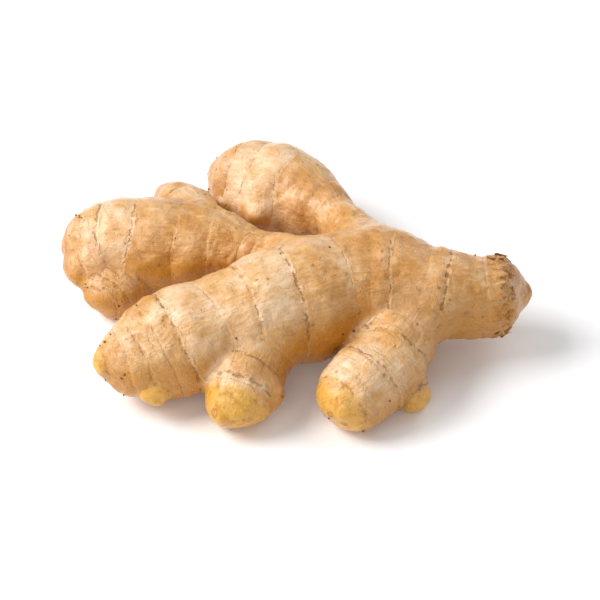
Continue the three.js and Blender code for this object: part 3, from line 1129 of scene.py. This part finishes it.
        # Painted shade: orange-gold wherever the skin faces down, and more so close to the floor, fading out
        # by 13 mm above it.
        height = coordinates(mesh)[:, 2]
        low = 0.3 * (1.0 - smooth_step(2.0, 13.0, height))
        facing = smooth_step(0.82, -0.28, unit(united.slope)[:, 2])
        numbers["painted_underside_shade"] = np.minimum(1.0, facing + low) * golden_shade_and_bruise
        clear = smooth_step(1.0, 2.0, height)
        numbers["stubs"] = clear * (0.018 + 0.16 * numbers["rooty"] + 0.04 * united.crease)
        collar = hump(trunk, 7.6, 2.0) + 0.12 * hump(trunk, 24.0, 0.6)
        on_rings = 0.012 * numbers["ring_force"] * hump(numbers["ring_gap"], 0.0, 1.0)
        numbers["fringe"] = clear * (np.where(owner == TRUNK, collar, 0.0) + on_rings)
        lengthwise[(owner == TRUNK) & (trunk < 16.0)] *= -1.0
        for name, values in numbers.items():
            mesh.attributes.new(name, "FLOAT", "POINT").data.foreach_set("value", values.astype(np.float32))
        for name, values in {"grain": grain, "lengthwise": lengthwise}.items():
            made = mesh.attributes.new(name, "FLOAT_VECTOR", "POINT")
            made.data.foreach_set("vector", values.astype(np.float32).ravel())


class Strewn(NodeBuilder):
    """A Geometry Nodes tree that strews small shapes over the skin."""

    def __init__(self, name: str) -> None:
        """Starts the tree with its skin input and geometry output.

        Args:
            name: The tree's name.
        """
        self.tree = bpy.data.node_groups.new(name, "GeometryNodeTree")
        for way in ("INPUT", "OUTPUT"):
            self.tree.interface.new_socket("Geometry", in_out=way, socket_type="NodeSocketGeometry")
        self.numbers: dict[str, str] = {}
        self.entry = self.tree.nodes.new("NodeGroupInput")

    def size(self, name: str, kind: str, value: Union[float, int]) -> None:
        """Adds a named input with its usual value."""
        made = self.tree.interface.new_socket(name, in_out="INPUT", socket_type=kind)
        made.default_value = value
        self.numbers[name] = made.identifier

    def named(self, name: str, kind: str = "FLOAT") -> Socket:
        """Returns a number or vector kept on the skin."""
        return self.node("GeometryNodeInputNamedAttribute", {"Name": name}, data_type=kind).outputs[0]

    def close(self, instances: Socket, material: Material) -> None:
        """Ends the tree.

        Args:
            instances: The strewn shapes, which are made real.
            material: Their finish.
        """
        real = self.node("GeometryNodeRealizeInstances", {0: instances})
        dressed = self.node("GeometryNodeSetMaterial", {"Geometry": real.outputs[0], "Material": material})
        end = self.node("NodeGroupOutput", {})
        self.tree.links.new(dressed.outputs[0], end.inputs[0])


@dataclass
class SmallGrowth:
    """Small things that stand all over the skin, such as root stubs or frayed scale ends.

    Args:
        name: The piece's name.
        pattern: Which number on the skin says how thickly they stand.
        density: How many stand on a square metre where that number is 1.
        smallest: Smallest size, as a share of the shape's own.
        largest: Largest size, as a share of the shape's own.
        sink: How far each is sunk into the skin, in metres.
        seed: Fixes where they fall.
        finish: What they look like.
    """

    name: str
    pattern: str
    density: float
    smallest: float
    largest: float
    sink: float
    seed: int
    finish: DryScale

    def shape(self) -> Object:
        """Draws one of them, in metres, standing on its base along +Z. Subclasses say how."""
        raise NotImplementedError

    def build(self, skin: Object) -> Object:
        """Strews them over the skin.

        Args:
            skin: The finished skin.

        Returns:
            One plain mesh that holds them all.
        """
        sample = self.shape()
        carrier = new_object("carrier", skin.data.copy())
        tree = self._tree(sample)
        modifier = carrier.modifiers.new(self.name, "NODES")
        modifier.node_group = tree.tree
        for label, value in (("Density", self.density), ("Seed", self.seed)):
            modifier[tree.numbers[label]] = value
        piece = made_plain(carrier, self.name)
        bpy.data.objects.remove(sample)
        return piece

    def _tree(self, sample: Object) -> Strewn:
        """Builds the tree that strews one sample shape.

        Args:
            sample: The shape.

        Returns:
            The tree, with its density and seed as named inputs.
        """
        tree = Strewn(self.name)
        tree.size("Density", "NodeSocketFloat", self.density)
        tree.size("Seed", "NodeSocketInt", self.seed)
        entry = tree.entry.outputs
        pattern = {0: tree.named(self.pattern), 1: entry["Density"]}
        thickness = tree.node("ShaderNodeMath", pattern, operation="MULTIPLY")
        points = tree.node(
            "GeometryNodeDistributePointsOnFaces",
            {"Mesh": entry["Geometry"], "Density": thickness.outputs[0], "Seed": entry["Seed"]},
        )
        along = {"Rotation": points.outputs["Rotation"], "Vector": tree.named("lengthwise", "FLOAT_VECTOR")}
        aimed = tree.node("FunctionNodeAlignRotationToVector", along, axis="X", pivot_axis="Z")
        tilts = {0: (-0.25, -0.12, -0.5), 1: (0.25, 0.22, 0.5), "Seed": entry["Seed"]}
        tilt = tree.node("FunctionNodeRandomValue", tilts, data_type="FLOAT_VECTOR")
        turn = {"Rotation": aimed.outputs[0], "Rotate By": tilt.outputs[0]}
        turned = tree.node("FunctionNodeRotateRotation", turn, rotation_space="LOCAL")
        sizes = {2: self.smallest, 3: self.largest, "Seed": entry["Seed"]}
        size = tree.node("FunctionNodeRandomValue", sizes, data_type="FLOAT")
        info = tree.node("GeometryNodeObjectInfo", {"Object": sample})
        stood = tree.node(
            "GeometryNodeInstanceOnPoints",
            {
                "Points": points.outputs["Points"],
                "Instance": info.outputs["Geometry"],
                "Rotation": turned.outputs[0],
                "Scale": size.outputs[1],
            },
        )
        sink = {"Instances": stood.outputs[0], "Translation": (0.0, 0.0, -self.sink)}
        sunk = tree.node("GeometryNodeTranslateInstances", sink)
        tree.close(sunk.outputs[0], self.finish.material())
        return tree


@dataclass
class RootStubs(SmallGrowth):
    """Short blunt remains of the thin roots that were rubbed off."""

    width: float = 0.00042
    height: float = 0.0009
    sides: int = 7

    def shape(self) -> Object:
        """Draws one stub: a blunt, slightly leaning cone with a rounded top."""
        rings = []
        turns = [FULL_TURN * i / self.sides for i in range(self.sides)]
        for n, (rise, girth) in enumerate(((0.0, 1.25), (0.3, 0.95), (0.7, 0.78), (0.93, 0.5))):
            lean = 0.25 * self.width * rise
            ring = []
            for turn in turns:
                reach = self.width * girth * (1.0 + 0.18 * math.sin(3.0 * turn + n))
                ring.append((reach * math.cos(turn) + lean, reach * math.sin(turn), self.height * rise))
            rings.append(ring)
        return closed_tube("stub", rings)


@dataclass
class ScaleEnds(SmallGrowth):
    """Frayed papery ends of old scales, lying along the limb and lifting at the tip."""

    length: float = 0.0038
    width: float = 0.0019
    thick: float = 0.00012
    steps: int = 5

    def shape(self) -> Object:
        """Draws one end: a thin, pointed, curled sliver lying along +X."""
        rings = []
        for n in range(self.steps + 1):
            t = n / self.steps
            half = 0.5 * self.width * (1.0 - t**1.6) * (1.0 + 0.3 * math.sin(7.0 * t)) + 0.00004
            along, low = self.length * (t - 0.25), 0.05 * self.length * t * t + 0.35 * half
            high = low + self.thick
            rings.append([(along, -half, low), (along, half, low), (along, half, high), (along, -half, high)])
        return closed_tube("sliver", rings)


@dataclass(frozen=True)
class Lamp:
    """One soft studio light.

    Args:
        name: What it is for.
        place: Where it hangs, in metres.
        size: Width of its square panel, in metres.
        power: Watts.
        colour: Its colour, linear.
    """

    name: str
    place: Triple
    size: float
    power: float
    colour: Triple = (1.0, 1.0, 1.0)


@dataclass
class Studio:
    """Pale floor, soft light and a camera at the photograph's angle.

    Args:
        target: What the camera looks at, in metres.
        elevation: How far above the floor it looks from, in degrees.
        distance: How far off it stands, in metres.
        lens: Its focal length, in millimetres.
        lamps: The lights.
        sky: Strength of the even light from all round.
    """

    target: Triple = (0.0024, -0.0119, 0.015)
    elevation: float = 40.0
    distance: float = 0.75
    lens: float = 150.0
    lamps: tuple[Lamp, ...] = (
        Lamp("key", (-1.05, 0.0, 1.0), 0.9, 23.5),
        Lamp("front", (-0.3, -1.2, 1.1), 1.1, 3.6),
        Lamp("back", (0.8, 0.7, 1.1), 1.0, 6.5),
    )
    sky: float = 0.27

    def build(self) -> None:
        """Builds the floor, the lights and the camera."""
        self._floor()
        for lamp in self.lamps:
            self._light(lamp)
        self._world()
        self._camera()
        bpy.context.scene.view_settings.view_transform = "Standard"

    def _floor(self) -> None:
        """Lays the floor that the root rests on."""
        mesh = bpy.data.meshes.new("floor")
        corners = [(FLOOR_REACH * x, FLOOR_REACH * y, 0.0) for x, y in ((-1, -1), (1, -1), (1, 1), (-1, 1))]
        mesh.from_pydata(corners, [], [(0, 1, 2, 3)])
        floor = new_object("floor", mesh)
        mesh.materials.append(PaleFloor().material())

    def _light(self, lamp: Lamp) -> None:
        """Hangs a lamp, facing the root.

        Args:
            lamp: Its place, size and power.
        """
        light = bpy.data.lights.new(lamp.name, "AREA")
        light.size, light.energy, light.color = lamp.size, lamp.power, lamp.colour
        made = new_object(lamp.name, light)
        made.location = lamp.place
        aim = Vector(self.target) - Vector(lamp.place)
        made.rotation_euler = aim.to_track_quat("-Z", "Y").to_euler()

    def _world(self) -> None:
        """Sets the even light from all round."""
        world = bpy.data.worlds.new("studio")
        world.use_nodes = True
        back = world.node_tree.nodes["Background"]
        back.inputs["Color"].default_value = (0.985, 0.99, 1.0, 1.0)
        back.inputs["Strength"].default_value = self.sky
        bpy.context.scene.world = world

    def _camera(self) -> None:
        """Stands the camera where the photograph was taken from."""
        camera = bpy.data.cameras.new("camera")
        camera.lens, camera.sensor_width, camera.clip_start = self.lens, 36.0, 0.01
        made = new_object("camera", camera)
        lift = math.radians(self.elevation)
        back = Vector((0.0, -math.cos(lift), math.sin(lift))) * self.distance
        made.location = Vector(self.target) + back
        made.rotation_euler = (-back).to_track_quat("-Z", "Y").to_euler()
        bpy.context.scene.camera = made


def carry(piece: Object) -> None:
    """Rides a finished piece on the root and reports it."""
    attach(piece, "root")
    LOG.info("%s: %d faces", piece.name, len(piece.data.polygons))


def main(solid: Object) -> None:
    """Builds every piece in order.

    Args:
        solid: The root's faceted solid.
    """
    skin = RootSkin().build(solid)
    carry(skin)
    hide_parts(NODE)
    growths = (
        RootStubs(
            name="root_stubs",
            pattern="stubs",
            density=90000.0,
            smallest=0.35,
            largest=1.1,
            sink=0.0003,
            seed=7,
            finish=DryScale("dry_root", (170, 120, 66), (112, 72, 36)),
        ),
        ScaleEnds(
            name="scale_ends",
            pattern="fringe",
            density=130000.0,
            smallest=0.4,
            largest=1.0,
            sink=0.00018,
            seed=11,
            finish=DryScale("dry_scale", (216, 166, 104), (146, 98, 50)),
        ),
    )
    for growth in growths:
        carry(growth.build(skin))
    Studio().build()


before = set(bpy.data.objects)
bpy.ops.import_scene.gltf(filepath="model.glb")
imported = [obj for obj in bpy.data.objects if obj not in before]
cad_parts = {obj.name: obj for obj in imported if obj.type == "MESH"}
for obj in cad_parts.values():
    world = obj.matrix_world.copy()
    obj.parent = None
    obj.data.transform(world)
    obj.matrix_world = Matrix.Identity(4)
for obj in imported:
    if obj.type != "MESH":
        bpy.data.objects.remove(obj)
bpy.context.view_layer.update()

if __name__ == "__main__":
    logging.basicConfig(level=logging.INFO)
    main(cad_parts[NODE])
